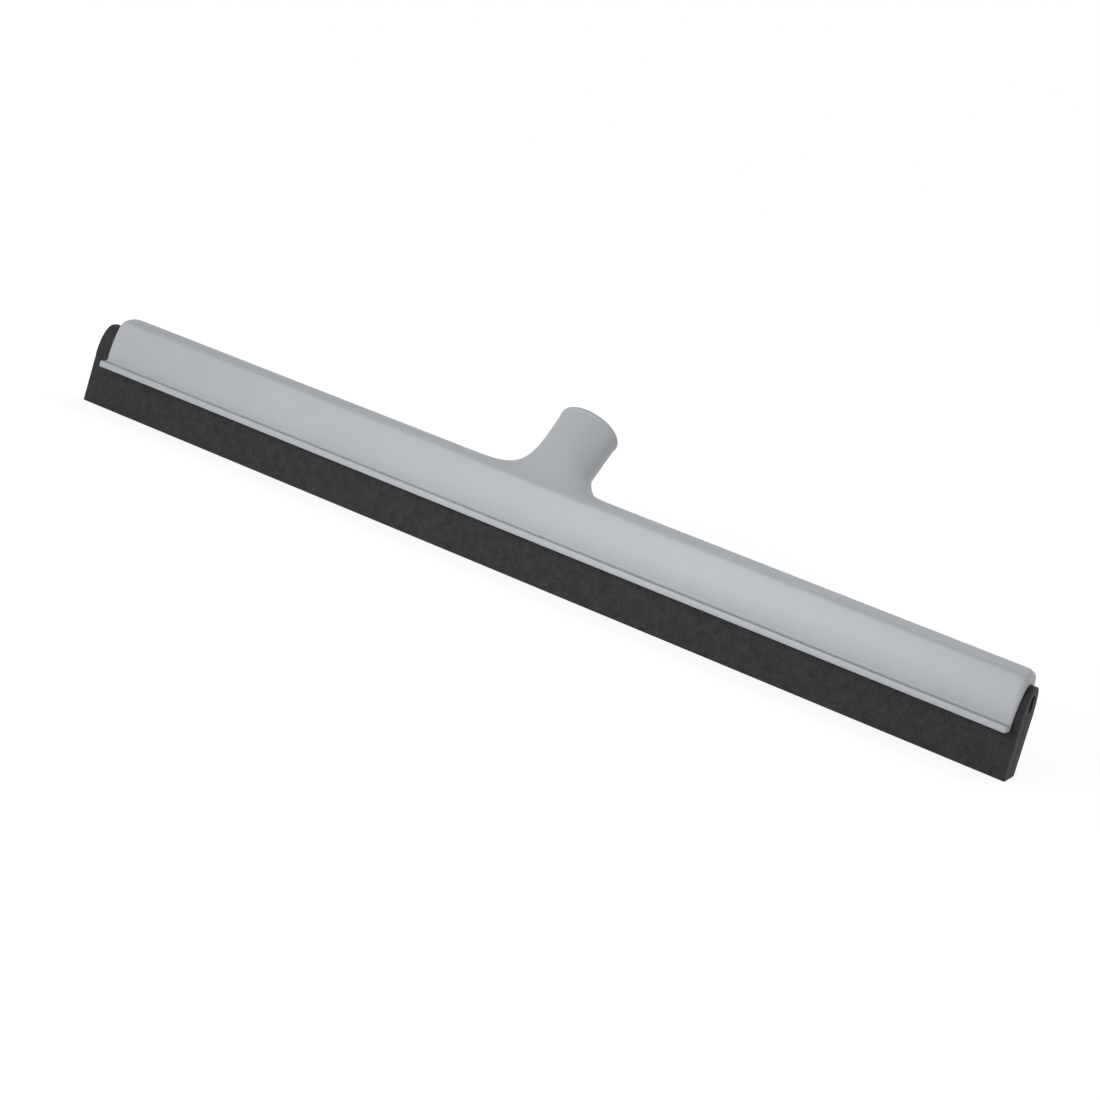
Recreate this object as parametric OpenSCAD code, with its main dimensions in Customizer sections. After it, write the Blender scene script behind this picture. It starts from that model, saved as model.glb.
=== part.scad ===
// Floor squeegee head: a moulded head with a leaning handle socket, and a
// slide-out refill of folded foam rubber on a stiff core strip.
// X runs along the blade, Y from the front to the back, Z up from the floor.
// The origin is on the floor, under the middle of the head.

/* [Foam blade] */
// Length of the foam blade
blade_length = 550; // [350:10:750]
// Thickness of the two leaves together at the floor edge
blade_floor_t = 18.3; // [14:0.1:19.5]
// Thickness of the two leaves together at the mouth of the channel
blade_neck_t = 19.8; // [18:0.1:26]
// How much the fold swells on each side above the mouth of the channel
fold_swell = 0.4; // [0.1:0.1:1]
// Height of the folded blade, from the floor to the top of the fold
blade_height = 45; // [43.5:0.1:60]
// Height of foam that shows under the head
blade_reveal = 23.2; // [12:0.1:26]
// How much shorter each end of the blade is at the top of the fold
end_lean = 2; // [0:0.1:4]
// Slit between the two leaves
leaf_gap = 0.6; // [0.4:0.1:1.5]
// Rounding of the floor edges
floor_edge_r = 1; // [0.3:0.1:2]
// Thickness of foam over the core strip, at the top of the fold
fold_cover = 4; // [3:0.1:6]
// How far the refill sits off the middle of the head
refill_shift = -3; // [-5:0.5:5]

/* [Core strip] */
// Thickness of the core strip
core_t = 5; // [3:0.1:7]
// Height of the core strip
core_h = 8; // [7.5:0.1:9]
// How far each end of the core strip stops short of the foam's end
core_inset = 12; // [4:1:40]
// Gap between the core strip and the foam round it
core_gap = 0.3; // [0.1:0.05:0.5]

/* [Head] */
// Length of the head between its end walls
head_length = 534; // [330:1:740]
// Gap between the foam and the channel of the head
channel_gap = 0.3; // [0.2:0.05:0.6]
// Wall of the head beside the mouth of the channel
side_wall = 2; // [1.6:0.1:4]
// Thickness of the head over the top of the channel
top_wall = 6.7; // [5:0.1:12]
// Width of the crowned top, from its front edge line to its back one
top_width = 18; // [16:0.5:21]
// Rise of the crown over its edge lines
crown_rise = 2.7; // [1:0.1:4]
// Swell of the front and back faces at half their height
face_swell = 1; // [0:0.1:2]
// Rounding of the edge lines between the faces and the crown
crown_edge_r = 1.8; // [0.8:0.1:3]
// Rounding of the top corners at the ends of the head
end_top_r = 6; // [2:0.5:12]
// Rounding of the upright corners at the ends of the head
end_corner_r = 2.5; // [1:0.1:5]

/* [Lip] */
// Height of the lip along the lower edge of the head
lip_height = 3.3; // [3:0.1:8]
// How far the lip stands out from the face above it
lip_reach = 6; // [2:0.1:10]
// Rounding of the lip's nose
lip_nose_r = 1.4; // [0.5:0.1:1.5]
// Rounding of the lip's corners, seen from above
lip_corner_r = 1.2; // [0.5:0.1:4]

/* [Handle socket] */
// Lean of the socket back from the upright
socket_lean = 40; // [30:1:46]
// How far behind the middle of the blade the socket's axis crosses the top of the head
socket_set_back = 19.6; // [17:0.1:23]
// Length of the socket from there to its rim, along its axis
socket_reach = 34; // [26:0.5:60]
// Diameter of the handle that the socket takes
handle_d = 25; // [22:0.1:26]
// Play between the handle and the bore, all round
handle_play = 0.1; // [0.05:0.01:0.3]
// Wall of the socket at its rim
rim_wall = 4.3; // [3.5:0.1:7]
// Narrowing of the socket's radius per millimetre down from the rim
socket_taper = 0.045; // [0:0.005:0.05]
// Depth of the bore from the rim
bore_depth = 45; // [30:0.5:46]
// Thickness of the socket's closed end under the bore
socket_floor = 4.6; // [3:0.1:6]
// Rounding of the outer edge of the rim
rim_edge_r = 1.8; // [0.5:0.1:2.5]
// Bevel round the mouth of the bore
mouth_bevel = 0.8; // [0.3:0.1:1.5]
// How far the sweep at the foot of the socket reaches past its sides, along the head
flare_reach = 22; // [8:0.5:30]
// How far short of the rim the sweep runs out on the front of the socket
flare_drop = 8; // [4:0.5:16]
// Room between the foot of the sweep and the edge lines of the crown
flare_margin = 0.8; // [0.4:0.1:2]

/* [Hidden] */
$fn = 96;

grey = [0.66, 0.68, 0.70];
black = [0.14, 0.14, 0.145];
cream = [0.82, 0.80, 0.74];

// Steps of a curved stretch of an outline
curve_steps = 12;
// Sides of a ring of the sweep at the foot of the socket
ring_sides = 64;
// Sink of one shape into another that it is joined to
sink = 0.2;
// Sink of the end of the sweep into the socket's side
flare_sink = 0.05;
// Overshoot of a cut past the face that it leaves
over = 1;
// Drop of the blade's straight sides below the top of the lip, and rise of its round top above it
neck_drop = 1;
spring_rise = 2;
// Rounding of the closed end of the socket
socket_end_r = 5;

// Blade
floor_half = blade_floor_t / 2;
neck_half = blade_neck_t / 2;
belly_half = neck_half + fold_swell;

// Head
lip_top = blade_reveal + lip_height;
neck_top = lip_top - neck_drop;
spring_z = lip_top + spring_rise;
channel_top = blade_height + channel_gap;
head_top = channel_top + top_wall;
head_half = belly_half + channel_gap + side_wall;
crown_half = top_width / 2;
crown_edge_z = head_top - crown_rise;
face_height = crown_edge_z - lip_top;
edge_blend = crown_edge_r / 4;

// Socket
bore_r = handle_d / 2 + handle_play;
rim_r = bore_r + rim_wall;
axis = [0, sin(socket_lean), cos(socket_lean)];
bore_floor_s = socket_reach - bore_depth;
socket_end_s = bore_floor_s - socket_floor;
flare_top = socket_reach - flare_drop;

// Point at t, from 0 to 1, of a quadratic curve from p to q that leaves and
// arrives along the lines to k
function bend(p, k, q, t) = (1 - t) * (1 - t) * p + 2 * t * (1 - t) * k + t * t * q;

// The whole of such a curve
function curve(p, k, q, steps = curve_steps) = [for (i = [0:steps]) bend(p, k, q, i / steps)];

// A quarter turn round a corner, from angle a0 on
function quarter(centre, r, a0, steps = 6) =
    [for (i = [0:steps]) let (a = a0 + 90 * i / steps)
        centre + r * [cos(a), sin(a)]];

// Half of a mirror-alike outline, completed on the other side
function both_sides(half) = concat(half,
    [for (i = [len(half) - 1:-1:0]) [-half[i][0], half[i][1]]]);

// The round top of the fold: a bullet shape, a little fuller than an ellipse
function arch(half, foot_z, top_z, steps = 16) =
    [for (i = [0:steps - 1]) let (a = 90 * i / steps)
        [half * pow(cos(a), 0.75), foot_z + (top_z - foot_z) * sin(a)]];

// Outline in the Y-Z plane, drawn out along X to both sides of the middle
module along_x(length) {
    rotate([90, 0, 90])
        linear_extrude(height = length, center = true)
            children();
}

// Outline in the X-Z plane, drawn out along Y
module along_y(length) {
    rotate([90, 0, 0])
        linear_extrude(height = length, center = true)
            children();
}

// Outline of the folded blade, grown by gap on every side but the floor
module blade_outline(gap) {
    half = concat(
        quarter([floor_half + gap - floor_edge_r, floor_edge_r], floor_edge_r, -90),
        [[neck_half + gap, blade_reveal], [neck_half + gap, neck_top]],
        arch(belly_half + gap, spring_z, blade_height + gap),
        [[0, blade_height + gap]]);
    polygon(both_sides(half));
}

// Outline of the core strip, grown by gap all round
module core_outline(gap) {
    r = core_t / 2 + gap;
    top_z = blade_height - fold_cover - core_gap - core_t / 2;
    foot_z = blade_height - fold_cover - core_gap - core_h + core_t / 2;
    for (z = [top_z, foot_z])
        translate([0, z])
            circle(r);
    translate([-r, foot_z])
        square([2 * r, top_z - foot_z]);
}

// Strip of foam rubber folded over the core, with its two leaves down
module foam_blade() {
    color(black)
        translate([refill_shift, 0, 0])
            difference() {
                intersection() {
                    along_x(blade_length)
                        blade_outline(0);
                    along_y(2 * (belly_half + over))
                        polygon(both_sides([
                            [blade_length / 2, 0],
                            [blade_length / 2 - end_lean, blade_height]]));
                }
                along_x(blade_length + 2 * over) {
                    core_outline(core_gap);
                    translate([-leaf_gap / 2, -over])
                        square([leaf_gap, blade_height - fold_cover - core_h + over]);
                }
            }
}

// Stiff strip in the fold
module core_strip() {
    color(cream)
        translate([refill_shift, 0, 0])
            along_x(blade_length - 2 * core_inset)
                core_outline(0);
}

// Half outline of the body of the head over its lips. A curve goes half-way to the point
// that pulls it, so that point stands out by twice the swell.
function body_half() = concat(
    [[head_half, blade_reveal + lip_height / 2]],
    curve([head_half, lip_top],
        [(head_half + crown_half) / 2 + 2 * face_swell, lip_top + face_height / 2],
        [crown_half + edge_blend, crown_edge_z - crown_edge_r]),
    curve([crown_half + edge_blend / 2, crown_edge_z - 2 * edge_blend],
        [crown_half, crown_edge_z],
        [crown_half - crown_edge_r, crown_z(crown_half - crown_edge_r)], 4),
    [for (i = [curve_steps - 1:-1:0]) let (y = (crown_half - crown_edge_r) * i / curve_steps)
        [y, crown_z(y)]]);

// Height of the crowned top at a distance y from the middle
function crown_z(y) = head_top - crown_rise * pow(y / crown_half, 2);

// Long body of the head with its round ends
module body() {
    r = end_top_r;
    half = head_length / 2;
    intersection() {
        along_x(head_length)
            polygon(both_sides(body_half()));
        along_y(2 * (head_half + face_swell + over))
            polygon(both_sides(concat(
                [[half, 0]],
                quarter([half - r, head_top - r], r, 0))));
        linear_extrude(height = head_top + over)
            rounded_plan(half, head_half + face_swell, end_corner_r);
    }
}

// Plan of the body or the lips: a rectangle with round corners
module rounded_plan(half_x, half_y, r) {
    polygon(both_sides(concat(
        quarter([half_x - r, r - half_y], r, -90),
        quarter([half_x - r, half_y - r], r, 0))));
}

// Lips along the lower edges, front and back, with round noses and corners
module lips() {
    r = lip_nose_r;
    half_y = head_half + lip_reach;
    intersection() {
        along_x(head_length)
            polygon(both_sides(concat(
                quarter([half_y - r, blade_reveal + r], r, -90),
                quarter([half_y - r, lip_top - r], r, 0))));
        linear_extrude(height = lip_top + over)
            rounded_plan(head_length / 2, half_y, lip_corner_r);
    }
}

// Frame of the socket: its axis is the local Z, from the level of the head's top
module at_socket() {
    translate([0, socket_set_back, head_top])
        rotate([-socket_lean, 0, 0])
            children();
}

// Outer radius of the socket at a distance s along its axis
function socket_r(s) = rim_r - socket_taper * (socket_reach - s);

// Outside of the socket, round its axis, with its rim and its closed end
module socket_outside() {
    rotate_extrude()
        polygon(concat(
            [[0, socket_end_s]],
            quarter([socket_r(socket_end_s) - socket_end_r, socket_end_s + socket_end_r],
                socket_end_r, -90),
            quarter([rim_r - rim_edge_r, socket_reach - rim_edge_r], rim_edge_r, 0),
            [[0, socket_reach]]));
}

// Point at the angle u round the socket's axis, at a radius r and a distance s along the axis
function on_socket(r, s, u) = [
    r * cos(u),
    socket_set_back + s * axis[1] + r * sin(u) * axis[2],
    head_top + s * axis[2] - r * sin(u) * axis[1]];

// Point at the angle u round the foot of the sweep, just under the face of the crown
function on_crown(u) =
    let (y = (crown_half - flare_margin) * sin(u))
        [(rim_r + flare_reach) * cos(u), y, crown_z(y) - sink];

// Where a point of the socket's side comes to when it's followed down to the top of the head
function at_crown(p) = p - axis * max(0, p[2] - head_top + sink) / axis[2];

// Where the sweep runs out at the angle u: high on the socket's front, low on its back
function flare_end(u) =
    let (s = flare_top * (1 - sin(u)) / 2)
        on_socket(socket_r(s) - flare_sink, s, u);

// Ring of the sweep, from t = 0 on the crown to t = 1 round the socket
function flare_ring(t) = [for (i = [0:ring_sides - 1])
    let (u = 360 * i / ring_sides, q = flare_end(u))
        bend(on_crown(u), at_crown(q), q, t)];

// Sweep from the top of the head to the sides and front of the socket
module flare() {
    rings = curve_steps;
    n = ring_sides;
    foot = rings * n + n;
    hub_z = (channel_top + crown_edge_z) / 2;
    polyhedron(
        points = concat(
            [for (j = [0:rings]) each flare_ring(j / rings)],
            [[0, 0, hub_z], on_socket(0, flare_top / 2, 0)]),
        faces = concat(
            [for (j = [0:rings - 1], i = [0:n - 1]) let (a = j * n + i, b = j * n + (i + 1) % n)
                each [[a, a + n, b], [b, a + n, b + n]]],
            [for (i = [0:n - 1]) let (b = (i + 1) % n)
                each [[foot, i, b], [foot + 1, rings * n + b, rings * n + i]]]));
}

// Bore for the handle, open at the rim
module bore() {
    translate([0, 0, bore_floor_s])
        cylinder(r = bore_r, h = bore_depth + over);
    translate([0, 0, socket_reach - mouth_bevel])
        cylinder(r1 = bore_r, r2 = bore_r + mouth_bevel + over, h = mouth_bevel + over);
}

// Grey moulding: body, lips and socket in one piece
module head() {
    color(grey)
        difference() {
            union() {
                body();
                lips();
                flare();
                at_socket()
                    socket_outside();
            }
            along_x(head_length + 2 * over)
                blade_outline(channel_gap);
            at_socket()
                bore();
        }
}

head();
foam_blade();
core_strip();
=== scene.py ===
# Floor squeegee head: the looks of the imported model.
# X runs along the blade, Y from the front to the back, Z up from the floor.

import math

import bmesh
import bpy
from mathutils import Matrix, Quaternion, Vector


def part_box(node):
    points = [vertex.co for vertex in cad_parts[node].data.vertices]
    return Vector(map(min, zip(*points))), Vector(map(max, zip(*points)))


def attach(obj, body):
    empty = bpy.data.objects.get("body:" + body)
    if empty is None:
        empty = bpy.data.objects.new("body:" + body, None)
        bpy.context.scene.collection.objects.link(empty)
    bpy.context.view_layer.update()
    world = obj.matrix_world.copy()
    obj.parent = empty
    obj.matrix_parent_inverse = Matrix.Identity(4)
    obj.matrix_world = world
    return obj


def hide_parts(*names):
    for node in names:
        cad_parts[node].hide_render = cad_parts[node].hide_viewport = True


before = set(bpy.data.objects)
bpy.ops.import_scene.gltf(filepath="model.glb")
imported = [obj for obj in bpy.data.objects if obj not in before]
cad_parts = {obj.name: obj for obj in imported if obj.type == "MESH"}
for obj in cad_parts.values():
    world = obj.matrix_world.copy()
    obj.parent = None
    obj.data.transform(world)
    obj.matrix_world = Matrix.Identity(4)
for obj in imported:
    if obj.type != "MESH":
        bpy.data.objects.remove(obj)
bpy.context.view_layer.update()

# Head: one injection moulding in cool grey polypropylene. It has a long body with an arched
# channel through its underside, a lip along each lower edge, and a handle socket grown out of
# its top and back in one sweep. Its mould was lightly spark-textured, with a satin finish.
mm = 0.001
head_low, head_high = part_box("head")
end_x = head_high.x
lip_foot = head_low.z
lip_top = lip_foot + 3.3 * mm
crown_top = 52.0 * mm
face_foot = Vector((12.6 * mm, lip_top))
face_swell = Vector((12.8 * mm, 37.9 * mm))
face_head = Vector((9.45 * mm, 47.5 * mm))
channel_half = 10.6 * mm
channel_mouth_half = 10.2 * mm
channel_foot = 28.5 * mm
channel_top = 45.3 * mm
# Under 1, which makes the arch fuller at its shoulders than an ellipse
arch_power = 0.75


def bend(p, k, q, t):
    """Point at t of a curve from p to q that leaves and arrives along the lines to k."""
    return (1 - t) ** 2 * p + 2 * t * (1 - t) * k + t ** 2 * q


def arch(half_width, top, steps):
    """Half of an arch that stands at the channel's foot, without the point at its top."""
    angles = [math.radians(90 * i / steps) for i in range(steps)]
    return [Vector((half_width * math.cos(a) ** arch_power,
                    channel_foot + (top - channel_foot) * math.sin(a))) for a in angles]


def both_sides(half, top):
    """The whole outline from its right half: up the front, over the top and down the back."""
    front = [Vector((-p.x, p.y)) for p in half]
    return front + [Vector((0, top))] + list(reversed(half))


# Outline of the outside, from the mouth of the channel round the lip and up to the crown.
# The ledge over the lip is hollowed a little behind its front edge.
lip_outline = [Vector((y * mm, lip_foot + z * mm)) for y, z in (
    (10.5, 0.0), (14.0, 0.0), (17.9, 0.0), (18.55, 0.3), (18.6, 1.2),
    (18.58, 3.05), (18.3, 3.55), (16.7, 3.25), (14.0, 3.0), (12.4, 3.45))]
face_outline = [bend(face_foot, face_swell, face_head, t)
                for t in (0.06, 0.2, 0.4, 0.6, 0.8, 0.96)]
crown_outline = [Vector((y * mm, z * mm))
                 for y, z in ((9.1, 48.9), (8.2, 50.0), (6.3, 50.85), (3.2, 51.7))]
outside_half = lip_outline + face_outline + crown_outline
outside = both_sides(outside_half, crown_top)

# Outline of the channel, paired point by point with the outside
lip_rows = len(lip_outline)
arch_steps = len(outside_half) - lip_rows
mouth_outline = [Vector((channel_mouth_half, lip_foot + z * mm))
                 for z in (0.3, 0.6, 0.9, 1.2, 1.6, 2.1, 2.7, 3.3, 3.9, 4.7)]
inside = both_sides(mouth_outline + arch(channel_half, channel_top, arch_steps), channel_top)
rows = len(outside)
middle_row = rows // 2

# The head starts as the end face: rows of points, four deep from the outside to the channel
head_mesh = bmesh.new()
row_layer = head_mesh.verts.layers.int.new("row")
depth_layer = head_mesh.verts.layers.int.new("depth")
chain = [head_mesh.verts.new((0, p.x, p.y)) for p in outside]
for row, vert in enumerate(chain):
    vert[row_layer] = row
edges = [head_mesh.edges.new(pair) for pair in zip(chain, chain[1:])]
for depth in (1, 2, 3):
    grown = bmesh.ops.extrude_edge_only(head_mesh, edges=edges)["geom"]
    edges = [g for g in grown if isinstance(g, bmesh.types.BMEdge)
             and all(v in grown for v in g.verts)]
    for vert in (g for g in grown if isinstance(g, bmesh.types.BMVert)):
        vert[depth_layer] = depth
band = list(head_mesh.faces)

# Corners of the body's ends. Two steps, in corner radii from the edge, round each corner on
# the outside, and two short ones keep the channel's edge crisp.
lip_rounding = 1.0 * mm
face_rounding = 1.4 * mm
crown_rounding = 5.4 * mm
corner_steps = (0.45, 1.3)
crisp_steps = (0.4 * mm, 1.2 * mm)
channel_edge = 0.3 * mm
most_of_wall = 0.6
# The lip's own corners are drawn in at its ends, towards a point in its thickness
lip_heart = Vector((16.9 * mm, lip_foot + 2.1 * mm))
lip_corner_rows = range(2, 7)
lip_draw = (0.32, 0.6)


def rows_from_mouth(row):
    """Rows between this one and the nearer edge of the channel's mouth."""
    return min(row, rows - 1 - row)


def end_rounding(row):
    """Radius of the end's corner on this row: small at the lips, growing up the face."""
    if rows_from_mouth(row) < lip_rows - 1:
        return lip_rounding
    rise = max(0.0, outside[row].y - lip_top) / (crown_top - lip_top)
    return face_rounding + (crown_rounding - face_rounding) * rise ** 1.5


def place_end(verts, side):
    """The end face: its outer corner is round, and its inner edge is crisp."""
    for vert in verts:
        row, depth = vert[row_layer], vert[depth_layer]
        outer, inner = outside[row], inside[row]
        wall = (outer - inner).length
        radius = min(end_rounding(row), most_of_wall * wall)
        insets = [step * radius for step in corner_steps] + [wall - channel_edge, wall]
        at = outer.lerp(inner, min(insets[depth], wall) / wall)
        if depth < len(lip_draw) and rows_from_mouth(row) in lip_corner_rows:
            heart = Vector((math.copysign(lip_heart.x, outer.x), lip_heart.y))
            at = at.lerp(heart, lip_draw[depth])
        vert.co = (side * end_x, at.x, at.y)


def place_cut(verts, x):
    """A cut across the body at x."""
    for vert in verts:
        outline_here = outside if vert[depth_layer] == 0 else inside
        at = outline_here[vert[row_layer]]
        vert.co = (x, at.x, at.y)


def place_corner(verts, side, step):
    """A cut across the body near its end, bent to go round the end's corner."""
    place_cut(verts, side * end_x)
    for vert in verts:
        if vert[depth_layer] == 0:
            vert.co.x = side * (end_x - corner_steps[step] * end_rounding(vert[row_layer]))
        else:
            vert.co.x = side * (end_x - crisp_steps[step])


def draw_out(mesh, faces, first):
    """Draws a cross-section's faces out by one step; only the first stays as the far end."""
    grown = bmesh.ops.extrude_face_region(mesh, geom=faces)["geom"]
    if not first:
        bmesh.ops.delete(mesh, geom=[f for f in faces if f.is_valid], context="FACES")
    return ([g for g in grown if isinstance(g, bmesh.types.BMFace)],
            [g for g in grown if isinstance(g, bmesh.types.BMVert)])


# The body is drawn out from the left end to the right, with closer cuts under the socket
socket_columns = [x * mm for x in (-30, -20, -10, 0, 10, 20, 30)]
body_columns = ([x * mm for x in (-245, -150, -75, -45)] + socket_columns
                + [x * mm for x in (45, 75, 150, 245)])
place_end(head_mesh.verts, -1)
for step in (0, 1):
    band, verts = draw_out(head_mesh, band, step == 0)
    place_corner(verts, -1, step)
for x in body_columns:
    band, verts = draw_out(head_mesh, band, False)
    place_cut(verts, x)
for step in (1, 0):
    band, verts = draw_out(head_mesh, band, False)
    place_corner(verts, 1, step)
band, verts = draw_out(head_mesh, band, False)
place_end(verts, 1)

# The opening that the socket grows from, over the crown and down the back face
front_row = middle_row - 3
back_row = middle_row + 9
hair = 0.1 * mm
reach_x = socket_columns[-1] + hair
opening = [f for f in head_mesh.faces
           if all(v[depth_layer] == 0 and front_row <= v[row_layer] <= back_row
                  and abs(v.co.x) < reach_x for v in f.verts)]
bmesh.ops.delete(head_mesh, geom=opening, context="FACES")
opening_edges = [e for e in head_mesh.edges if e.is_boundary
                 and all(v[depth_layer] == 0 and abs(v.co.x) < reach_x for v in e.verts)]
start = next(v for e in opening_edges for v in e.verts
             if abs(v.co.x) < hair and v[row_layer] == front_row)
# Its points in order, from the middle of the front round by the right
ring = [start]
while True:
    ahead = [e.other_vert(ring[-1]) for e in ring[-1].link_edges if e in opening_edges]
    ahead = [v for v in ahead if v not in ring]
    if not ahead:
        break
    ring.append(max(ahead, key=lambda v: v.co.x) if len(ring) == 1 else ahead[0])

# Socket, round an axis that leans back from the crown
lean = math.radians(40)
axis = Vector((0, math.sin(lean), math.cos(lean)))
across = Vector((0, math.cos(lean), -math.sin(lean)))
socket_foot = Vector((0, 19.6 * mm, crown_top))
rim_along = 34 * mm
rim_radius = 16.9 * mm
taper = 0.045
bore_radius = 12.6 * mm
bore_floor = -11.0 * mm
# A smooth ring of this many points lies a little inside them
fullness = 3 / (2 + math.cos(2 * math.pi / len(ring)))


def on_socket(radius, along, turn):
    """A point round the socket's axis: turn 0 is to the right and 90 degrees behind."""
    out = Vector((math.cos(turn), 0, 0)) + math.sin(turn) * across
    return socket_foot + along * axis + radius * fullness * out


def side_radius(along):
    """The socket narrows a little towards its foot."""
    return rim_radius - taper * (rim_along - along)


def grow(ring, places):
    """Extrudes the ring of points and moves the new ones to their places."""
    around = [head_mesh.edges.get((a, b)) for a, b in zip(ring, ring[1:] + ring[:1])]
    grown = bmesh.ops.extrude_edge_only(head_mesh, edges=around)["geom"]
    fresh = set(g for g in grown if isinstance(g, bmesh.types.BMVert))
    new_ring = [next(e.other_vert(v) for e in v.link_edges if e.other_vert(v) in fresh)
                for v in ring]
    for vert, place in zip(new_ring, places):
        vert.co = place
    return new_ring


# The sweep leaves the opening along the body and ends on the socket's side: high up in
# front and at the foot behind. Its knee lies over the crown in front and low down behind.
straight_start = 26 * mm
knee_low = -14 * mm
front_pull = 0.3
sweep_steps = (0.2, 0.42, 0.65, 0.85)
side_steps = (27 * mm, 30.8 * mm, 31.2 * mm)
turns = [math.radians(-90 + 360 * i / len(ring)) for i in range(len(ring))]
feet = [v.co.copy() for v in ring]
ends, knees, pulls = [], [], []
for turn in turns:
    behind = (1 + math.sin(turn)) / 2
    end_along = straight_start * (1 - behind)
    end = on_socket(side_radius(end_along), end_along, turn)
    to_crown = max(0.0, end.z - crown_top) / axis.z
    knee_front = end - axis * to_crown
    knee_back = on_socket(side_radius(knee_low), knee_low, turn)
    ends.append(end)
    knees.append(knee_front.lerp(knee_back, max(0.0, math.sin(turn)) ** 1.5))
    pulls.append(front_pull * max(0.0, -math.sin(turn)) ** 0.5)
for t in sweep_steps:
    ring = grow(ring, [bend(foot, knee, end, t).lerp(knee, 4 * t * (1 - t) * pull)
                       for foot, knee, end, pull in zip(feet, knees, ends, pulls)])
for along in side_steps:
    ring = grow(ring, [on_socket(side_radius(along), along, turn) for turn in turns])

# A fine band round the rim, the rounded rim itself, and the bore down to its floor
rim_profile = [(radius * mm, along * mm) for radius, along in (
    (17.02, 31.6), (17.06, 31.9), (17.0, 32.4), (16.65, 33.3),
    (16.0, 33.85), (14.6, 34.0), (13.5, 33.98), (12.75, 33.4))]
bore_profile = [(bore_radius, 32.2 * mm), (bore_radius, bore_floor + 3.0 * mm),
                (bore_radius, bore_floor + 0.6 * mm), (12.0 * mm, bore_floor),
                (7.0 * mm, bore_floor)]
for radius, along in rim_profile + bore_profile:
    ring = grow(ring, [on_socket(radius, along, turn) for turn in turns])
bmesh.ops.holes_fill(head_mesh, edges=[e for e in head_mesh.edges if e.is_boundary], sides=0)
bmesh.ops.recalc_face_normals(head_mesh, faces=head_mesh.faces)


def finished_piece(name, mesh):
    """Makes an object at the origin from the piece's mesh, shaded smooth."""
    for face in mesh.faces:
        face.smooth = True
    data = bpy.data.meshes.new(name)
    mesh.to_mesh(data)
    mesh.free()
    piece = bpy.data.objects.new(name, data)
    bpy.context.scene.collection.objects.link(piece)
    return piece


head = finished_piece("head_moulding", head_mesh)
smooth = head.modifiers.new("smooth", "SUBSURF")
smooth.levels = smooth.render_levels = 2


def new_material(name):
    """A node material, with its Principled shader and its node tree."""
    material = bpy.data.materials.new(name)
    material.use_nodes = True
    tree = material.node_tree
    return material, tree.nodes["Principled BSDF"], tree


def add_node(tree, kind, **inputs):
    """A shader node with some of its inputs set by name."""
    node = tree.nodes.new(kind)
    for key, value in inputs.items():
        node.inputs[key.replace("_", " ")].default_value = value
    return node


def two_tone(tree, dark, light):
    """A node that goes from the dark to the light colour with its factor."""
    tint = add_node(tree, "ShaderNodeMix")
    tint.data_type = "RGBA"
    tint.inputs["A"].default_value = (*dark, 1)
    tint.inputs["B"].default_value = (*light, 1)
    return tint


def moulded_plastic(name, dark, light, roughness, grain_height):
    """Satin polypropylene: cloudy flow marks, fine spark texture and uneven gloss."""
    material, shader, tree = new_material(name)
    place = add_node(tree, "ShaderNodeTexCoord").outputs["Object"]
    flow = add_node(tree, "ShaderNodeTexNoise", Scale=38.0, Detail=3.0, Roughness=0.55)
    tint = two_tone(tree, dark, light)
    grain = add_node(tree, "ShaderNodeTexNoise", Scale=2600.0, Detail=2.0, Roughness=0.6)
    gloss = add_node(tree, "ShaderNodeMapRange",
                     To_Min=roughness - 0.05, To_Max=roughness + 0.05)
    bump = add_node(tree, "ShaderNodeBump", Strength=0.25, Distance=grain_height)
    for node in (flow, grain):
        tree.links.new(place, node.inputs["Vector"])
    tree.links.new(flow.outputs["Fac"], tint.inputs["Factor"])
    tree.links.new(flow.outputs["Fac"], gloss.inputs["Value"])
    tree.links.new(tint.outputs["Result"], shader.inputs["Base Color"])
    tree.links.new(gloss.outputs["Result"], shader.inputs["Roughness"])
    tree.links.new(grain.outputs["Fac"], bump.inputs["Height"])
    tree.links.new(bump.outputs["Normal"], shader.inputs["Normal"])
    return material


head.data.materials.append(moulded_plastic(
    "grey_polypropylene", (0.455, 0.475, 0.50), (0.495, 0.515, 0.545), 0.45, 0.02 * mm))
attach(head, "head_body")
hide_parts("head")

# Foam blade: a strip of black closed-cell foam rubber, folded lengthwise into two leaves. The
# fold is pushed into the channel, and its cut ends, a little off square, show the slit between
# the leaves and the hollow round the core strip.
blade_low, blade_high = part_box("foam_blade")
blade_top = blade_high.z
blade_middle = (blade_low.x + blade_high.x) / 2
blade_half_length = (blade_high.x - blade_low.x) / 2
end_lean = 2.0 * mm
floor_half = 9.15 * mm
floor_round = 1.0 * mm
neck_half = 9.9 * mm
neck_top = 25.5 * mm
fold_half = 10.3 * mm
fold_steps = 24
slit_half = 0.3 * mm
slit_round = 0.2 * mm
hollow_half = 2.8 * mm
hollow_top = 38.2 * mm
hollow_foot = 35.2 * mm


def quarter(y, z, radius, start, steps):
    """Points of a quarter circle round a corner."""
    return [(y + radius * math.cos(a), z + radius * math.sin(a))
            for a in (math.radians(start + 90 * i / steps) for i in range(steps + 1))]


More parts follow.
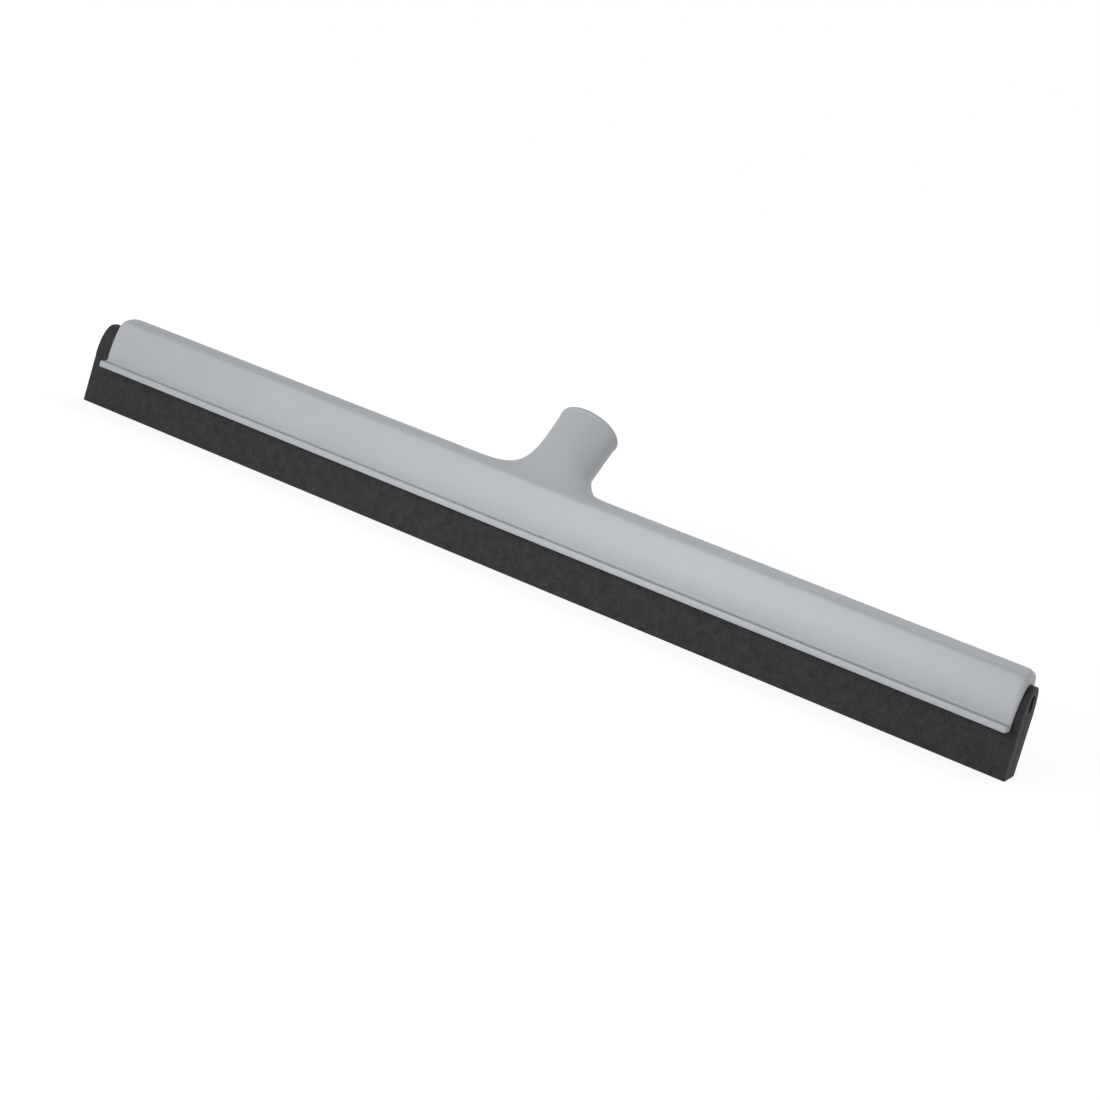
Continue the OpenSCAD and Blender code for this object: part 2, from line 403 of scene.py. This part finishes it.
blade_half = (
    [(slit_half, slit_round), (slit_half + slit_round, 0.0)]
    + quarter(floor_half - floor_round, floor_round, floor_round, -90, 6)
    + [(neck_half, lip_foot), (neck_half, neck_top)]
    + [(p.x, p.y) for p in arch(fold_half, blade_top, fold_steps)])
hollow_outline = (
    quarter(0.0, hollow_top, hollow_half, 0, 8)[::-1]
    + [(hollow_half, hollow_foot)]
    + [p for p in quarter(0.0, hollow_foot, -hollow_half, 90, 8)[::-1] if p[0] > slit_half])
blade_outline = (blade_half + [(0.0, blade_top)] + [(-y, z) for y, z in reversed(blade_half)]
                 + [(-y, z) for y, z in reversed(hollow_outline)] + hollow_outline[1:])
blade_mesh = bmesh.new()
blade_mesh.faces.new([blade_mesh.verts.new((0, y, z)) for y, z in blade_outline])
bmesh.ops.remove_doubles(blade_mesh, verts=blade_mesh.verts, dist=0.01 * mm)


def place_slice(verts, share):
    """A slice across the blade, from -1 at its left end to 1 at its right, shorter on top."""
    for vert in verts:
        half_here = blade_half_length - end_lean * vert.co.z / blade_top
        vert.co.x = blade_middle + share * half_here


slices = 110
place_slice(blade_mesh.verts, -1)
cap = list(blade_mesh.faces)
for number in range(1, slices + 1):
    cap, verts = draw_out(blade_mesh, cap, number == 1)
    place_slice(verts, 2 * number / slices - 1)
bmesh.ops.recalc_face_normals(blade_mesh, faces=blade_mesh.faces)
blade = finished_piece("foam_blade_folded", blade_mesh)
blade.data.set_sharp_from_angle(angle=math.radians(35))


def joined(tree, operation, first, second):
    """The sum, product or larger of two outputs."""
    node = add_node(tree, "ShaderNodeMath")
    node.operation = operation
    tree.links.new(first, node.inputs[0])
    tree.links.new(second, node.inputs[1])
    return node.outputs["Value"]


def cellular_rubber(name, shade, cell_depth):
    """Matt black foam rubber: fine cells, a few open ones, and faint dusty patches."""
    material, shader, tree = new_material(name)
    place = add_node(tree, "ShaderNodeTexCoord").outputs["Object"]
    cells = add_node(tree, "ShaderNodeTexVoronoi", Scale=1100.0, Randomness=1.0)
    grain = add_node(tree, "ShaderNodeTexNoise", Scale=620.0, Detail=4.0, Roughness=0.7)
    patches = add_node(tree, "ShaderNodeTexNoise", Scale=260.0, Detail=3.0, Roughness=0.6)
    spread = add_node(tree, "ShaderNodeMapRange", From_Min=0.65, From_Max=1.35)
    tint = two_tone(tree, (0.5 * shade, 0.49 * shade, 0.5 * shade),
                    (1.4 * shade, 1.37 * shade, 1.39 * shade))
    bump = add_node(tree, "ShaderNodeBump", Strength=0.7, Distance=cell_depth)
    for node in (cells, grain, patches):
        tree.links.new(place, node.inputs["Vector"])
    mottle = joined(tree, "ADD", grain.outputs["Fac"], patches.outputs["Fac"])
    height = joined(tree, "ADD", cells.outputs["Distance"], grain.outputs["Fac"])
    tree.links.new(mottle, spread.inputs["Value"])
    tree.links.new(spread.outputs["Result"], tint.inputs["Factor"])
    tree.links.new(tint.outputs["Result"], shader.inputs["Base Color"])
    tree.links.new(height, bump.inputs["Height"])
    tree.links.new(bump.outputs["Normal"], shader.inputs["Normal"])
    shader.inputs["Roughness"].default_value = 0.85
    shader.inputs["Specular IOR Level"].default_value = 0.3
    return material


# The foam's skin is darker than its cut ends, whose faces look along the blade. Their lighter
# copy of the foam is partly their open cells and partly painted light, as the ends catch more
# light than the sides.
blade.data.materials.append(cellular_rubber("black_foam_rubber", 0.037, 0.25 * mm))
blade.data.materials.append(cellular_rubber("cut_foam_open_cells_and_painted_light", 0.055, 0.35 * mm))
# Faces that look along the blade take the lighter copy, painted partly as light that falls on
# the ends
for polygon in blade.data.polygons:
    if abs(polygon.normal.x) > 0.5:
        polygon.material_index = 1
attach(blade, "refill")
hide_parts("foam_blade")

# Core strip: a stiff extruded plastic strip with round edges. It lies in the fold of the foam
# and keeps the blade from being pulled down through the mouth of the channel.
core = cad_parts["core_strip"]
core.data.materials.clear()
core.data.materials.append(moulded_plastic(
    "undyed_plastic", (0.60, 0.575, 0.50), (0.66, 0.635, 0.56), 0.4, 0.01 * mm))

# Floor: a plain pale studio floor that is seen as white and keeps a soft shadow of the
# squeegee. It lies a hair under the foam, so that the two never share a plane.
floor_reach = 6.0
floor_level = -0.05 * mm
floor_mesh = bmesh.new()
bmesh.ops.create_grid(floor_mesh, x_segments=1, y_segments=1, size=floor_reach)
for vert in floor_mesh.verts:
    vert.co.z = floor_level
floor = finished_piece("studio_floor", floor_mesh)


def seen_directly(tree):
    """1 for what the camera sees straight, in a mirror or through glass, and 0 for the rest."""
    path = add_node(tree, "ShaderNodeLightPath")
    total = path.outputs["Is Camera Ray"]
    for kind in ("Is Glossy Ray", "Is Transmission Ray"):
        total = joined(tree, "MAXIMUM", total, path.outputs[kind])
    return total


# The paper glows where it is seen directly, a little less round the squeegee than far off
paper, paper_shader, paper_tree = new_material("white_paper")
paper_shader.inputs["Base Color"].default_value = (0.86, 0.86, 0.86, 1)
paper_shader.inputs["Roughness"].default_value = 0.9
glow = add_node(paper_tree, "ShaderNodeEmission", Strength=1.35)
from_middle = add_node(paper_tree, "ShaderNodeVectorMath")
from_middle.operation = "LENGTH"
fade = add_node(paper_tree, "ShaderNodeMapRange",
                From_Min=0.3, From_Max=1.1, To_Min=0.62, To_Max=0.8)
fade.interpolation_type = "SMOOTHSTEP"
blend_in = add_node(paper_tree, "ShaderNodeMixShader")
paper_tree.links.new(add_node(paper_tree, "ShaderNodeTexCoord").outputs["Object"],
                     from_middle.inputs[0])
paper_tree.links.new(from_middle.outputs["Value"], fade.inputs["Value"])
glow_share = joined(paper_tree, "MULTIPLY", seen_directly(paper_tree), fade.outputs["Result"])
paper_tree.links.new(glow_share, blend_in.inputs["Fac"])
paper_tree.links.new(paper_shader.outputs["BSDF"], blend_in.inputs[1])
paper_tree.links.new(glow.outputs["Emission"], blend_in.inputs[2])
paper_tree.links.new(blend_in.outputs["Shader"],
                     paper_tree.nodes["Material Output"].inputs["Surface"])
floor.data.materials.append(paper)

# Light: four plain soft boxes, at the front, the right, the left and the back. The front one is
# small, near and low, so that the middle of the face is the lightest and the ledge over the
# lip stays dark. The room gives a pale even light and is seen as white.


def soft_box(name, target, azimuth, elevation, distance, size, power):
    """An area lamp that looks at the target from an azimuth and elevation round it."""
    lamp = bpy.data.lights.new(name, "AREA")
    lamp.shape = "RECTANGLE"
    lamp.size, lamp.size_y = size
    lamp.energy = power
    lamp_object = bpy.data.objects.new(name, lamp)
    bpy.context.scene.collection.objects.link(lamp_object)
    a, e = math.radians(azimuth), math.radians(elevation)
    away = Vector((math.sin(a) * math.cos(e), -math.cos(a) * math.cos(e), math.sin(e)))
    lamp_object.location = target + away * distance
    lamp_object.rotation_mode = "QUATERNION"
    lamp_object.rotation_quaternion = away.to_track_quat("Z", "Y")


face_top = Vector((0, 0, 45 * mm))
body_middle = Vector((0, 0, 30 * mm))
# Name, target, azimuth and elevation in degrees, distance and size in metres, power in watts
soft_box("front_light", face_top, -3, 13, 0.72, (0.36, 0.3), 2.85)
soft_box("right_light", body_middle, 97, 14, 2.4, (1.2, 1.0), 8)
soft_box("left_light", body_middle, -68, 18, 2.4, (1.2, 1.0), 6)
soft_box("back_light", body_middle, 172, 52, 2.4, (1.8, 1.2), 10.5)
room = bpy.data.worlds.new("pale_room")
bpy.context.scene.world = room
room.use_nodes = True
room_tree = room.node_tree
white = (1.0, 1.0, 1.0, 1)
room_light = room_tree.nodes["Background"]
room_light.inputs["Color"].default_value = white
room_light.inputs["Strength"].default_value = 0.2
backdrop = add_node(room_tree, "ShaderNodeBackground", Color=white, Strength=1.0)
choose = add_node(room_tree, "ShaderNodeMixShader")
room_tree.links.new(seen_directly(room_tree), choose.inputs["Fac"])
room_tree.links.new(room_light.outputs["Background"], choose.inputs[1])
room_tree.links.new(backdrop.outputs["Background"], choose.inputs[2])
room_tree.links.new(choose.outputs["Shader"], room_tree.nodes["World Output"].inputs["Surface"])

# Camera: it looks at the front from the right and a little above, and is tilted, so that the
# blade runs down to the right across the picture.
aim = Vector((16.6 * mm, 0, 18.8 * mm))
distance = 1113.0 * mm
azimuth, elevation, roll = (math.radians(a) for a in (23.879, 11.615, 17.018))
back = Vector((math.sin(azimuth) * math.cos(elevation),
               -math.cos(azimuth) * math.cos(elevation), math.sin(elevation)))
camera = bpy.data.objects.new("camera", bpy.data.cameras.new("camera"))
camera.data.sensor_width = 36
camera.data.lens = 71.97
camera.data.clip_start, camera.data.clip_end = 0.05, 20
camera.location = aim + back * distance
camera.rotation_mode = "QUATERNION"
camera.rotation_quaternion = back.to_track_quat("Z", "Y") @ Quaternion((0, 0, 1), roll)
bpy.context.scene.collection.objects.link(camera)
bpy.context.scene.camera = camera

bpy.context.scene.view_settings.view_transform = "Standard"
